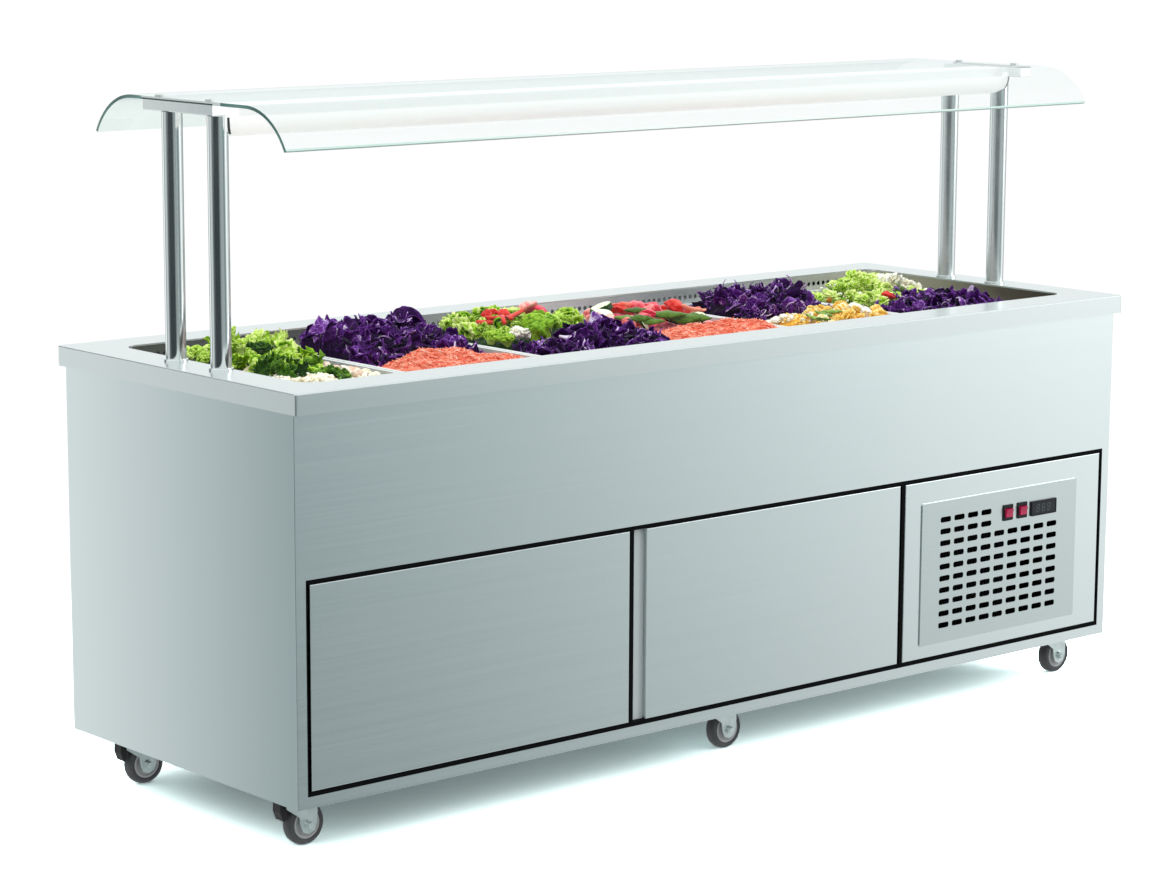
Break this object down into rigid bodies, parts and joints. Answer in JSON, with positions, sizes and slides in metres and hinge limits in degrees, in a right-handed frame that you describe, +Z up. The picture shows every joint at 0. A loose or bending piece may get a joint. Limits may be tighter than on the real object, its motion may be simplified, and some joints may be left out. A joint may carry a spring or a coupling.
{
  "type": "refrigerated buffet counter",
  "caption": "Refrigerated buffet counter on casters: stainless cabinet with hinged doors, a cold well of lift-out pans, and a bent glass canopy on posts with a lamp.",
  "frame": {"origin": "on the floor under the middle of the counter", "axes": "+X along the counter, to the right as seen from the doors; -Y is the side with the doors; +Z up"},
  "size_m": [2.16, 0.765, 1.321],
  "materials": {
    "panel_steel": "satin",
    "tank_steel": "satin",
    "galvanised_steel": "matte",
    "polished_steel": "polished",
    "clear_glass": "gloss",
    "lamp_white": "satin",
    "lamp_diffuser": "satin",
    "black_plastic": "matte",
    "red_plastic": "gloss",
    "display_window": "gloss",
    "zinc_steel": "satin",
    "wheel_rubber": "matte",
    "seal_rubber": "matte",
    "insulating_foam": "matte",
    "black_steel": "satin",
    "coil_aluminium": "satin",
    "copper": "satin",
    "grey_plastic": "satin"
  },
  "bodies": {
    "counter": {"air_strips": "tank_steel", "back_panel": "panel_steel", "base_tray": "galvanised_steel", "canopy_brackets": "polished_steel", "canopy_posts": "polished_steel", "caster_plates": "zinc_steel", "compressor": "black_steel", "condenser_coil": "coil_aluminium", "condenser_fan_shroud": "black_steel", "door_hinge_pins": "zinc_steel", "door_seal_frame": "seal_rubber", "drain_outlet": "grey_plastic", "evaporator_coil": "coil_aluminium", "frame_posts": "galvanised_steel", "front_panel": "panel_steel", "glass_canopy": "clear_glass", "glass_fixings": "polished_steel", "lamp_diffuser": "lamp_diffuser", "lamp_end_caps": "black_plastic", "lamp_housing": "lamp_white", "left_end_panel": "panel_steel", "machine_partition": "galvanised_steel", "mains_gland": "black_plastic", "pan_support_bars": "tank_steel", "refrigerant_pipes": "copper", "right_end_panel": "panel_steel", "well_insulation": "insulating_foam", "well_liner": "tank_steel", "worktop": "panel_steel"},
    "door_left": {"door_left": "panel_steel"},
    "door_right": {"door_right": "panel_steel"},
    "service_door": {"service_door": "panel_steel", "vent_grille": "panel_steel", "switch_bezels": "black_plastic", "thermostat_case": "black_plastic", "thermostat_window": "display_window"},
    "rocker_power": {"rocker_power": "red_plastic"},
    "rocker_light": {"rocker_light": "red_plastic"},
    "condenser_fan": {"condenser_fan_blade": "coil_aluminium"},
    "evaporator_fan": {"evaporator_fan": "black_plastic"},
    "caster_fork_1": {"caster_fork_1": "zinc_steel"},
    "caster_wheel_1": {"caster_wheel_1": "wheel_rubber"},
    "pan_1": {"pan_1": "tank_steel"},
    "caster_fork_2": {"caster_fork_2": "zinc_steel"},
    "caster_wheel_2": {"caster_wheel_2": "wheel_rubber"},
    "pan_2": {"pan_2": "tank_steel"},
    "caster_fork_3": {"caster_fork_3": "zinc_steel"},
    "caster_wheel_3": {"caster_wheel_3": "wheel_rubber"},
    "pan_3": {"pan_3": "tank_steel"},
    "caster_fork_4": {"caster_fork_4": "zinc_steel"},
    "caster_wheel_4": {"caster_wheel_4": "wheel_rubber"},
    "pan_4": {"pan_4": "tank_steel"},
    "caster_fork_5": {"caster_fork_5": "zinc_steel"},
    "caster_wheel_5": {"caster_wheel_5": "wheel_rubber"},
    "pan_5": {"pan_5": "tank_steel"},
    "caster_fork_6": {"caster_fork_6": "zinc_steel"},
    "caster_wheel_6": {"caster_wheel_6": "wheel_rubber"},
    "pan_6": {"pan_6": "tank_steel"},
    "brake_pedal_1": {"brake_pedal_1": "black_plastic"},
    "brake_pedal_2": {"brake_pedal_2": "black_plastic"}
  },
  "joints": [
    {"name": "door_left_swing", "type": "hinge", "parent": "counter", "child": "door_left", "pos_m": [-1.034, -0.356, 0.315], "axis": [0, 0, -1], "range_deg": [0, 105]},
    {"name": "door_right_swing", "type": "hinge", "parent": "counter", "child": "door_right", "pos_m": [0.4215, -0.356, 0.315], "axis": [0, 0, 1], "range_deg": [0, 105]},
    {"name": "service_door_swing", "type": "hinge", "parent": "counter", "child": "service_door", "pos_m": [1.034, -0.356, 0.315], "axis": [0, 0, 1], "range_deg": [0, 105]},
    {"name": "rocker_power_tilt", "type": "hinge", "parent": "service_door", "child": "rocker_power", "pos_m": [0.751, -0.3675, 0.4065], "axis": [1, 0, 0], "range_deg": [-14, 0]},
    {"name": "rocker_light_tilt", "type": "hinge", "parent": "service_door", "child": "rocker_light", "pos_m": [0.795, -0.3675, 0.4065], "axis": [1, 0, 0], "range_deg": [-14, 0]},
    {"name": "condenser_fan_turn", "type": "hinge", "parent": "counter", "child": "condenser_fan", "pos_m": [0.645, -0.255, 0.266], "axis": [0, 1, 0], "continuous": true},
    {"name": "evaporator_fan_turn", "type": "hinge", "parent": "counter", "child": "evaporator_fan", "pos_m": [0.25, 0, 0.62], "axis": [0, 0, 1], "continuous": true},
    {"name": "caster_swivel_1", "type": "hinge", "parent": "counter", "child": "caster_fork_1", "pos_m": [-1.01, -0.26, 0.1], "axis": [0, 0, 1], "continuous": true},
    {"name": "caster_roll_1", "type": "hinge", "parent": "caster_fork_1", "child": "caster_wheel_1", "pos_m": [-0.986, -0.26, 0.04], "axis": [0, 1, 0], "continuous": true},
    {"name": "brake_pedal_1_tilt", "type": "hinge", "parent": "caster_fork_1", "child": "brake_pedal_1", "pos_m": [-1.028, -0.26, 0.087], "axis": [0, 1, 0], "range_deg": [-10, 0]},
    {"name": "caster_swivel_2", "type": "hinge", "parent": "counter", "child": "caster_fork_2", "pos_m": [-1.01, 0.26, 0.1], "axis": [0, 0, 1], "continuous": true},
    {"name": "caster_roll_2", "type": "hinge", "parent": "caster_fork_2", "child": "caster_wheel_2", "pos_m": [-0.986, 0.26, 0.04], "axis": [0, 1, 0], "continuous": true},
    {"name": "brake_pedal_2_tilt", "type": "hinge", "parent": "caster_fork_2", "child": "brake_pedal_2", "pos_m": [-1.028, 0.26, 0.087], "axis": [0, 1, 0], "range_deg": [-10, 0]},
    {"name": "caster_swivel_3", "type": "hinge", "parent": "counter", "child": "caster_fork_3", "pos_m": [0.02, -0.26, 0.1], "axis": [0, 0, 1], "continuous": true},
    {"name": "caster_roll_3", "type": "hinge", "parent": "caster_fork_3", "child": "caster_wheel_3", "pos_m": [0.044, -0.26, 0.04], "axis": [0, 1, 0], "continuous": true},
    {"name": "caster_swivel_4", "type": "hinge", "parent": "counter", "child": "caster_fork_4", "pos_m": [0.02, 0.26, 0.1], "axis": [0, 0, 1], "continuous": true},
    {"name": "caster_roll_4", "type": "hinge", "parent": "caster_fork_4", "child": "caster_wheel_4", "pos_m": [0.044, 0.26, 0.04], "axis": [0, 1, 0], "continuous": true},
    {"name": "caster_swivel_5", "type": "hinge", "parent": "counter", "child": "caster_fork_5", "pos_m": [1.01, -0.26, 0.1], "axis": [0, 0, 1], "continuous": true},
    {"name": "caster_roll_5", "type": "hinge", "parent": "caster_fork_5", "child": "caster_wheel_5", "pos_m": [1.034, -0.26, 0.04], "axis": [0, 1, 0], "continuous": true},
    {"name": "caster_swivel_6", "type": "hinge", "parent": "counter", "child": "caster_fork_6", "pos_m": [1.01, 0.26, 0.1], "axis": [0, 0, 1], "continuous": true},
    {"name": "caster_roll_6", "type": "hinge", "parent": "caster_fork_6", "child": "caster_wheel_6", "pos_m": [1.034, 0.26, 0.04], "axis": [0, 1, 0], "continuous": true},
    {"name": "pan_lift_1", "type": "slide", "parent": "counter", "child": "pan_1", "axis": [0, 0, 1], "range_m": [0, 0.25]},
    {"name": "pan_lift_2", "type": "slide", "parent": "counter", "child": "pan_2", "axis": [0, 0, 1], "range_m": [0, 0.25]},
    {"name": "pan_lift_3", "type": "slide", "parent": "counter", "child": "pan_3", "axis": [0, 0, 1], "range_m": [0, 0.25]},
    {"name": "pan_lift_4", "type": "slide", "parent": "counter", "child": "pan_4", "axis": [0, 0, 1], "range_m": [0, 0.25]},
    {"name": "pan_lift_5", "type": "slide", "parent": "counter", "child": "pan_5", "axis": [0, 0, 1], "range_m": [0, 0.25]},
    {"name": "pan_lift_6", "type": "slide", "parent": "counter", "child": "pan_6", "axis": [0, 0, 1], "range_m": [0, 0.25]}
  ]
}
